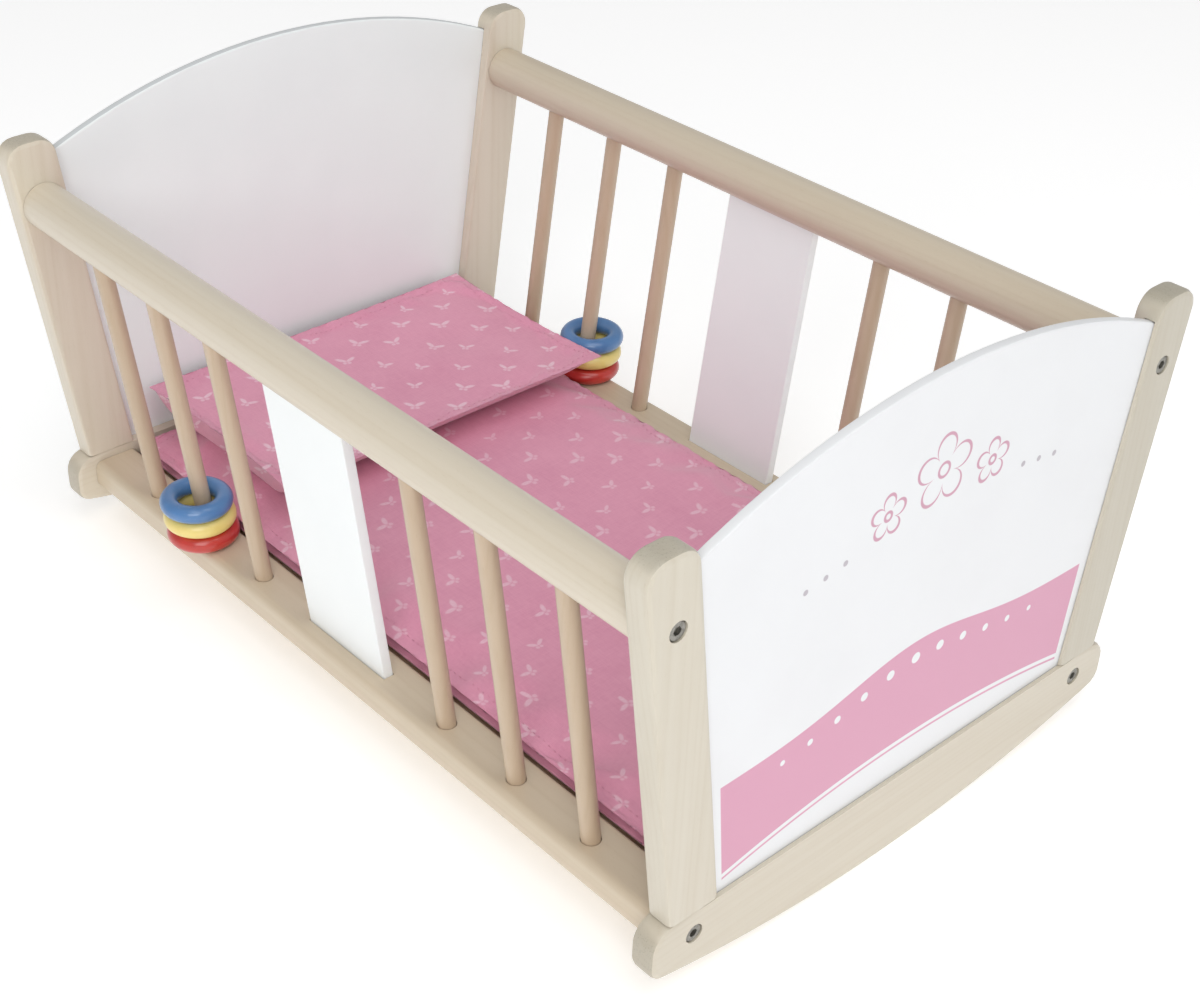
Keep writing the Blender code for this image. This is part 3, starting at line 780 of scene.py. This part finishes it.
@dataclass
class CradleFrame:
    """The fixed woodwork: ends, rails, bars, slats and base board, kept from the solids."""

    smoothing: Smoothing = field(default_factory=Smoothing)
    body: str = "cradle_frame"

    def finishes(self) -> dict[str, bpy.types.Material]:
        """Materials by the start of the node names that take them; the longest start wins."""
        finishes = {
            "rocker": Wood("pale_wood_across", Grain.X),
            # The foot rocker and the foot posts take darker copies of the same pale wood, the
            # right post the darkest: painted shade on the foot end that deepens towards the
            # right.
            "rocker_foot": Wood(
                "foot_rocker_shaded_wood", Grain.X, (0.630, 0.580, 0.480), (0.530, 0.455, 0.340)
            ),
            "post": Wood("pale_wood_upright", Grain.Z),
            "post_foot_left": Wood(
                "left_foot_post_shaded_wood", Grain.Z, (0.635, 0.588, 0.490), (0.530, 0.460, 0.345)
            ),
            "post_foot_right": Wood(
                "right_foot_post_shaded_wood", Grain.Z, (0.562, 0.526, 0.440), (0.470, 0.410, 0.308)
            ),
            "top_rail": Wood("pale_wood_lengthways", Grain.Y),
            # The right top rail takes a browner copy of the pale wood: painted shade and warm
            # bounced light on its side turned into the cradle.
            "top_rail_right": Wood(
                "shaded_warm_wood_lengthways", Grain.Y, (0.645, 0.565, 0.445), (0.530, 0.430, 0.310)
            ),
            # The bottom rails take a browner copy of the pale wood: painted shade that falls on
            # their tops between the bars.
            "bottom_rail": Wood(
                "low_rail_shaded_wood", Grain.Y, (0.660, 0.560, 0.425), (0.540, 0.425, 0.290)
            ),
            # The bars take a darker, browner copy of the pale wood: painted shade on the bars.
            "spindle": Wood(
                "bar_shaded_wood_upright", Grain.Z, (0.590, 0.465, 0.340), (0.470, 0.345, 0.220)
            ),
            "slat": Paint("slat_paint"),
            # The head panel's white is tinted greener still: painted light against the pink light
            # from the pillow and blanket.
            "panel_head": Paint(
                "head_panel_paint", (0.890, 0.945, 0.945), (0.850, 0.905, 0.910), rim_shade_share=0.6
            ),
            "panel_foot": PrintedPaint("foot_panel_print"),
            "base_board": Wood(
                "thin_ply_face",
                Grain.Y,
                (0.70, 0.57, 0.38),
                (0.55, 0.41, 0.25),
                lacquer=0.0,
                roughness=0.6,
            ),
            "dowel": Wood(
                "plain_peg_wood",
                Grain.Z,
                (0.66, 0.52, 0.33),
                (0.50, 0.36, 0.20),
                lacquer=0.0,
                roughness=0.62,
            ),
            "bolt": Steel("dark_bolt_steel", (0.34, 0.33, 0.30), 0.50),
            "nut": Steel("zinc_nut_steel", (0.62, 0.61, 0.58), 0.30),
        }
        return {start: finish.material() for start, finish in finishes.items()}

    def build(self, nodes: Mapping[str, bpy.types.Object]) -> None:
        """Dresses and smooths each carried-over node."""
        finishes = self.finishes()
        for name, item in sorted(nodes.items()):
            starts = [start for start in finishes if name.startswith(start)]
            if not starts:
                continue
            material = finishes[max(starts, key=len)]
            dress(item, material)
            self.smoothing.apply_to(item)
            log.info("dressed %s as %s", name, material.name)


@dataclass
class SlidingRings:
    """The three loose rings on one bar of each side, turned fine and round."""

    sides: tuple[str, str] = ("left", "right")
    around: int = 96
    section: int = 28

    def finishes(self) -> dict[Hue, bpy.types.Material]:
        """A gloss lacquer for each colour."""
        tones = {
            Hue.RED: ((0.560, 0.040, 0.030), (0.400, 0.022, 0.020)),
            Hue.YELLOW: ((0.870, 0.705, 0.240), (0.800, 0.600, 0.150)),
            Hue.BLUE: ((0.088, 0.225, 0.480), (0.055, 0.150, 0.360)),
        }
        return {
            hue: Lacquer(f"ring_{hue.value}_lacquer", tone, deep).material()
            for hue, (tone, deep) in tones.items()
        }

    def torus(self, low: Vector, high: Vector) -> bmesh.types.BMesh:
        """A ring of round section that fills a node's box.

        Args:
            low: The box's lowest corner.
            high: The box's highest corner.

        Returns:
            The ring.
        """
        middle = (low + high) / 2
        half_height = (high.z - low.z) / 2
        centre_radius = (high.x - low.x) / 2 - half_height
        bm = bmesh.new()
        rows = []
        for turn in range(self.around):
            angle = 2 * math.pi * turn / self.around
            out = Vector((math.cos(angle), math.sin(angle), 0))
            row = []
            for step in range(self.section):
                bend = 2 * math.pi * step / self.section
                point = middle + out * (centre_radius + half_height * math.cos(bend))
                row.append(bm.verts.new(point + Vector((0, 0, half_height * math.sin(bend)))))
            rows.append(row)
        for near, far in zip(rows, rows[1:] + rows[:1]):
            for step in range(self.section):
                after = (step + 1) % self.section
                bm.faces.new((near[step], far[step], far[after], near[after]))
        return bm

    def build(self) -> None:
        """Makes the rings and lets each stand for its node."""
        finishes = self.finishes()
        for side in self.sides:
            for hue in Hue:
                node = f"ring_{side}_{hue.value}"
                low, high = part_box(node)
                item = new_piece(f"{node}_turned", self.torus(low, high), node)
                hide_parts(node)
                dress(item, finishes[hue])
                log.info("turned %s", item.name)


def dome(u: float, v: float, power: float) -> float:
    """Height from 1 in the middle to 0 at the edges, the squarer the larger the power."""
    return math.sqrt(max(0, 1 - abs(u) ** power) * max(0, 1 - abs(v) ** power))


@dataclass
class Pad:
    """One soft piece: two layers of cloth joined round their edge, swelled by a cloth simulation.

    Sizes are in metres.

    Attributes:
        node: The solid that it stands for.
        cells: Cells across and along it.
        draw_in: Share of its half width by which the middle of each edge is drawn in.
        seam_share: Height of the seam as a share of the thickness.
        crown: Squareness of the upper layer.
        growth: Share by which the cloth grows.
        cap: The furthest that a point moves.
        rise: How far it may swell past the solid's top.
        spread: How far it may swell past the solid's sides.
        base_crown: Squareness of the lower layer.
        pressure: Pressure inside the cloth.
        shrink: What its thickness gives up to the swelling.
        inset: How far its edge lies inside the solid's.
        reach: How much further than the solid it goes towards the head.
        recess: How far its underside recedes from the left, right, foot and head edges.
        belly: Roundness of that recess.
        bump: Extra height of the upper layer at a place.
        top: Numbers of the upper layer's points, by column and row.
        base: Numbers of the lower layer's points, by column and row.
    """

    node: str
    cells: tuple[int, int]
    draw_in: float
    seam_share: float
    crown: float
    growth: float
    cap: float
    fill: float
    rise: float
    spread: float = 0.001
    base_crown: float = 10.0
    pressure: float = 3.0
    shrink: float = 0.002
    inset: float = 0.0
    reach: float = 0.0
    recess: tuple[float, float, float, float] | None = None
    belly: float = 1.6
    bump: Callable[[float, float], float] | None = None
    top: list[list[int]] = field(default_factory=list)
    base: list[list[int]] = field(default_factory=list)

    def sunk(self, u: float, v: float, half_x: float, half_y: float) -> float:
        """Share of the seam's height that the lower layer lies below the seam.

        Args:
            u: Place across, from -1 to 1.
            v: Place along, from -1 to 1.
            half_x: Half the width.
            half_y: Half the length.

        Returns:
            The share, 1 where the layer lies flat.
        """
        if not self.recess:
            return dome(u, v, self.base_crown)
        across, lengthways = self.recess[u > 0], self.recess[2 + (v > 0)]
        ways = (half_x * (1 - abs(u)) / across, half_y * (1 - abs(v)) / lengthways)
        curl = sum(max(0, 1 - way) ** 4 for way in ways)
        return 1 - min(1, curl ** (self.belly / 4))

    def grid(self) -> tuple[bmesh.types.BMesh, Vector, Vector]:
        """Lays out both layers inside the node's box and returns them with the box."""
        low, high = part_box(self.node)
        high.y += self.reach
        middle = (low + high) / 2
        half_x, half_y = ((high[axis] - low[axis]) / 2 - self.inset for axis in (0, 1))
        thickness = (high.z - low.z) - self.shrink
        seam = thickness * self.seam_share
        bm = bmesh.new()
        for i in range(self.cells[0] + 1):
            u = math.sin(math.pi / 2 * (2 * i / self.cells[0] - 1))
            top_row, base_row = [], []
            for j in range(self.cells[1] + 1):
                v = math.sin(math.pi / 2 * (2 * j / self.cells[1] - 1))
                x = half_x * u * (1 - self.draw_in * (1 - v * v) * u * u)
                y = half_y * v * (1 - self.draw_in * (1 - u * u) * v * v)
                lift = self.bump(x, y) if self.bump else 0
                rise = seam + (thickness - seam + lift) * dome(u, v, self.crown)
                spot = (middle.x + x, middle.y + y)
                top_row.append(len(bm.verts))
                bm.verts.new((*spot, low.z + rise))
                if i in (0, self.cells[0]) or j in (0, self.cells[1]):
                    base_row.append(top_row[-1])
                    continue
                base_row.append(len(bm.verts))
                hollow = seam * (1 - self.sunk(u, v, half_x, half_y))
                bm.verts.new((*spot, low.z + hollow))
            self.top.append(top_row)
            self.base.append(base_row)
        bm.verts.ensure_lookup_table()
        for rows in (self.top, self.base):
            for near, far in zip(rows, rows[1:]):
                for j in range(self.cells[1]):
                    corners = (near[j], near[j + 1], far[j + 1], far[j])
                    bm.faces.new([bm.verts[n] for n in corners])
        return bm, low, high

    def swell(self, item: bpy.types.Object, low: Vector, high: Vector) -> None:
        """Runs the cloth, and keeps each point near its start and inside the node's space.

        Args:
            item: The piece.
            low: The node's lowest corner.
            high: The node's highest corner.
        """
        held = item.vertex_groups.new(name="held")
        inner = [n for row in self.base[2:-2] for n in row[2:-2]]
        rim = self.top[0] + self.top[-1] + [n for row in self.top for n in (row[0], row[-1])]
        held.add(inner + rim, 1.0, "REPLACE")
        modifier = item.modifiers.new("swell", "CLOTH")
        cloth = modifier.settings
        for key, value in COTTON_CLOTH.items():
            setattr(cloth, key, value)
        cloth.vertex_group_mass = held.name
        cloth.shrink_min = -self.growth
        cloth.use_pressure = True
        cloth.uniform_pressure_force = self.pressure
        cloth.effector_weights.gravity = 0
        modifier.collision_settings.use_collision = False
        scene = bpy.context.scene
        for step in range(1, SWELL_FRAMES + 1):
            scene.frame_set(step)
        graph = bpy.context.evaluated_depsgraph_get()
        after = [vert.co.copy() for vert in item.evaluated_get(graph).data.vertices]
        item.modifiers.remove(modifier)
        item.vertex_groups.remove(held)
        scene.frame_set(1)
        for vert, spot in zip(item.data.vertices, after):
            move = spot - vert.co
            if move.length > self.cap:
                move *= self.cap / move.length
            spot = vert.co + move
            spot.z = min(max(spot.z, low.z), high.z + self.rise)
            spot.x = min(max(spot.x, low.x - self.spread), high.x + self.spread)
            spot.y = min(max(spot.y, low.y - self.spread), high.y + self.spread)
            vert.co = spot
        item.data.update()

    def build(self, material: bpy.types.Material, slot: str) -> bpy.types.Object:
        """Makes, swells and dresses the piece.

        Args:
            material: Its cloth.
            slot: Not used.

        Returns:
            The piece.
        """
        bm, low, high = self.grid()
        item = new_piece(f"{self.node}_sewn", bm, self.node)
        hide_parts(self.node)
        self.swell(item, low, high)
        dress(item, material)
        log.info("sewed %s", item.name)
        return item


@dataclass
class Topstitch:
    """A row of thread stitches laid on a soft piece's upper layer, a set way in from its edge.

    Sizes are in metres.
    """

    inset: float = 0.0055
    length: float = 0.0026
    gap: float = 0.0013
    radius: float = 0.00028
    lift: float = 0.00012

    def start(self, verts: Sequence[bpy.types.MeshVertex], axis: int) -> int:
        """Number of the first of a row of points that lies the inset away from its end."""
        edge = verts[0].co[axis]
        return next(n for n, vert in enumerate(verts) if abs(vert.co[axis] - edge) >= self.inset)

    def line(self, pad: Pad, item: bpy.types.Object) -> list[Vector]:
        """The closed line of points that the stitches follow, on the upper layer."""
        verts = item.data.vertices
        columns, rows = len(pad.top), len(pad.top[0])
        i = self.start([verts[column[rows // 2]] for column in pad.top], 0)
        j = self.start([verts[n] for n in pad.top[columns // 2]], 1)
        loop = [(n, j) for n in range(i, columns - i)]
        loop += [(columns - 1 - i, n) for n in range(j, rows - j)]
        loop += [(n, rows - 1 - j) for n in range(columns - 1 - i, i - 1, -1)]
        loop += [(i, n) for n in range(rows - 1 - j, j - 1, -1)]
        points = [verts[pad.top[a][b]].co + Vector((0, 0, self.lift)) for a, b in loop]
        return points + points[:1]

    def spans(self, points: Sequence[Vector]) -> Iterator[tuple[Vector, Vector]]:
        """Yields the two ends of each stitch along a line of points."""
        ways = [0.0]
        for near, far in zip(points, points[1:]):
            ways.append(ways[-1] + (far - near).length)

        def place(way: float) -> Vector:
            """The point that lies a given way along the line."""
            after = min(bisect_right(ways, way), len(points) - 1)
            share = (way - ways[after - 1]) / (ways[after] - ways[after - 1])
            return points[after - 1].lerp(points[after], share)

        pitch = self.length + self.gap
        for count in range(int(ways[-1] / pitch)):
            yield place(count * pitch), place(count * pitch + self.length)

    def build(self, pad: Pad, item: bpy.types.Object, material: bpy.types.Material) -> None:
        """Makes the stitches as one mesh that belongs to the soft piece."""
        bm = bmesh.new()
        count = 0
        for first, last in self.spans(self.line(pad, item)):
            run = last - first
            side = run.cross(Vector((0, 0, 1))).normalized() * self.radius
            up = Vector((0, 0, self.radius))
            middle = (first + last) / 2 + up * 0.5
            tips = [bm.verts.new(first - up * 0.8), bm.verts.new(last - up * 0.8)]
            waist = [bm.verts.new(middle + way) for way in (side, up, -side, -up)]
            for n in range(4):
                bm.faces.new((tips[0], waist[n], waist[(n + 1) % 4]))
                bm.faces.new((tips[1], waist[(n + 1) % 4], waist[n]))
            count += 1
        stitches = new_piece(f"{pad.node}_stitches", bm, pad.node)
        dress(stitches, material)
        log.info("laid %d stitches on %s", count, item.name)


@dataclass
class Bedding:
    """Mattress, blanket and pillow, each sewn from cotton."""

    fold_height: float = 0.0011
    fold_length: float = 0.085
    crease_height: float = 0.0012

    def folds(self, x: float, y: float) -> float:
        """Height of the blanket's soft uneven folds at a place on it."""
        rough = noise.noise(Vector((x * 22, y * 17, 0.3)))
        fine = noise.noise(Vector((x * 60, y * 48, 4.1)))
        wave = math.sin(2 * math.pi * (y + 0.5 * x) / self.fold_length)
        return self.fold_height * (0.9 * rough + 0.35 * fine + 0.35 * wave)

    def creases(self, x: float, y: float) -> float:
        """Height of the pillow's shallow creases at a place on it."""
        return self.crease_height * noise.noise(Vector((x * 26, y * 30, 7.7)))

    def build(self) -> None:
        """Makes the three pieces and the hem stitches of the blanket and the pillow."""
        plain = Cotton("mattress_plain_cotton", printed=False).material()
        printed = Cotton("blanket_printed_cotton").material()
        pillow_cloth = Cotton(
            "pillow_printed_cotton", pale=(0.900, 0.700, 0.780), turn=-0.75
        ).material()
        thread = Cotton("stitching_thread", thread=0.2, printed=False).material()
        mattress = Pad(
            "mattress", (36, 64), 0.004, seam_share=0.8, crown=10.0, growth=0.01, cap=0.002,
            fill=0.6, rise=0.0,
        )
        mattress.build(plain, "mattress_cotton")
        blanket = Pad(
            "blanket", (84, 140), 0.006, seam_share=0.2, crown=10.0, growth=0.025, cap=0.0035,
            fill=0.3, rise=0.0008, pressure=2.2, shrink=0.0012, inset=-0.0006, reach=0.005,
            bump=self.folds,
        )
        Topstitch().build(blanket, blanket.build(printed, "blanket_cotton"), thread)
        pillow = Pad(
            "pillow", (76, 52), 0.030, seam_share=0.90, crown=4.0, growth=0.025, cap=0.004,
            fill=0.5, rise=0.002, shrink=0.0008, reach=0.005,
            recess=(0.013, 0.024, 0.036, 0.013), bump=self.creases,
        )
        Topstitch(inset=0.0042).build(pillow, pillow.build(pillow_cloth, "pillow_cotton"), thread)


@dataclass
class Studio:
    """Floor, light and the camera at the photograph's angle.

    Lengths are in metres and angles in degrees; the focal length is in the photograph's pixels.
    The sky goes from its light at the horizon to its light overhead, by the view's height, and a
    lamp is its name, place, watts and width.
    """

    image: tuple[float, float] = (1200.0, 997.0)
    focal_pixels: float = 1938.4
    azimuth: float = -42.58
    elevation: float = 32.54
    roll: float = 1.64
    distance: float = 1.02977
    target: tuple[float, float, float] = (-0.00081, -0.01394, 0.10807)
    shift: tuple[float, float] = (0.0225, -0.0353)
    sky: tuple[tuple[float, Colour], ...] = (
        (0.02, (0.75, 0.75, 0.75)),
        (0.20, (0.45, 0.45, 0.45)),
    )
    aim: tuple[float, float, float] = (0.0, 0.0, 0.1)
    lamps: tuple[tuple[str, tuple[float, float, float], float, float], ...] = (
        ("key", (-1.45, -1.3, 1.25), 15.0, 1.2),
        ("fill", (1.7, -1.5, 1.2), 1.2, 1.6),
        ("top", (-0.3, -0.9, 2.3), 19.0, 1.8),
    )
    floor_half: float = 40.0
    floor_glow: float = 0.32

    def camera(self) -> None:
        """Places the camera."""
        a, e = math.radians(self.azimuth), math.radians(self.elevation)
        back = Vector((math.sin(a) * math.cos(e), -math.cos(a) * math.cos(e), math.sin(e)))
        data = bpy.data.cameras.new("photo_camera")
        data.sensor_width = 36.0
        data.lens = self.focal_pixels / self.image[0] * data.sensor_width
        data.shift_x, data.shift_y = self.shift
        data.clip_start, data.clip_end = 0.01, 50
        item = bpy.data.objects.new("photo_camera", data)
        bpy.context.scene.collection.objects.link(item)
        spin = Matrix.Rotation(math.radians(self.roll), 4, back)
        turn = spin @ (-back).to_track_quat("-Z", "Y").to_matrix().to_4x4()
        item.matrix_world = Matrix.Translation(Vector(self.target) + back * self.distance) @ turn
        bpy.context.scene.camera = item

    def lamp(self, name: str, place: Sequence[float], power: float, width: float) -> None:
        """Adds a square soft light that faces the cradle.

        Args:
            name: Its name.
            place: Where it stands.
            power: Its power in watts.
            width: Its side in metres.
        """
        data = bpy.data.lights.new(name, "AREA")
        data.shape = "SQUARE"
        data.size = width
        data.energy = power
        item = bpy.data.objects.new(name, data)
        bpy.context.scene.collection.objects.link(item)
        item.location = place
        ahead = Vector(self.aim) - Vector(place)
        item.rotation_euler = ahead.to_track_quat("-Z", "Y").to_euler()

    def floor(self) -> None:
        """Lays the plain pale floor under the rockers."""
        bm = bmesh.new()
        half = self.floor_half
        corners = [(-half, -half, 0), (half, -half, 0), (half, half, 0), (-half, half, 0)]
        bm.faces.new([bm.verts.new(corner) for corner in corners])
        mesh = bpy.data.meshes.new("floor")
        bm.to_mesh(mesh)
        bm.free()
        item = bpy.data.objects.new("floor", mesh)
        bpy.context.scene.collection.objects.link(item)
        paper = {
            "Base Color": (0.94, 0.94, 0.94),
            "Roughness": 0.9,
            "Specular IOR Level": 0.1,
            "Emission Color": (1.0, 1.0, 1.0),
            "Emission Strength": self.floor_glow,
        }
        dress(item, Tree("pale_floor").close(paper))

    def surroundings(self) -> None:
        """Makes the even light from all round, which is brighter towards the horizon."""
        world = bpy.data.worlds.new("studio")
        world.use_nodes = True
        graph = Graph(world.node_tree)
        direction = graph.node("ShaderNodeTexCoord").outputs["Generated"]
        height = graph.node("ShaderNodeSeparateXYZ", inputs={0: direction}).outputs["Z"]
        ramp = graph.node("ShaderNodeValToRGB", {"stops": self.sky}, {"Fac": height})
        graph.feed(graph.nodes["Background"].inputs["Color"], ramp.outputs["Color"])
        bpy.context.scene.world = world

    def build(self) -> None:
        """Sets up the camera, the floor and the light."""
        self.camera()
        self.floor()
        self.surroundings()
        for lamp in self.lamps:
            self.lamp(*lamp)
        bpy.context.scene.view_settings.view_transform = "Standard"
        log.info("studio ready")


def main() -> None:
    logging.basicConfig(level=logging.INFO, format="%(message)s")
    bpy.context.view_layer.update()
    Studio().build()
    CradleFrame().build(frame["nodes"])
    SlidingRings().build()
    Bedding().build()
    bpy.context.view_layer.update()


if __name__ == "__main__":
    main()
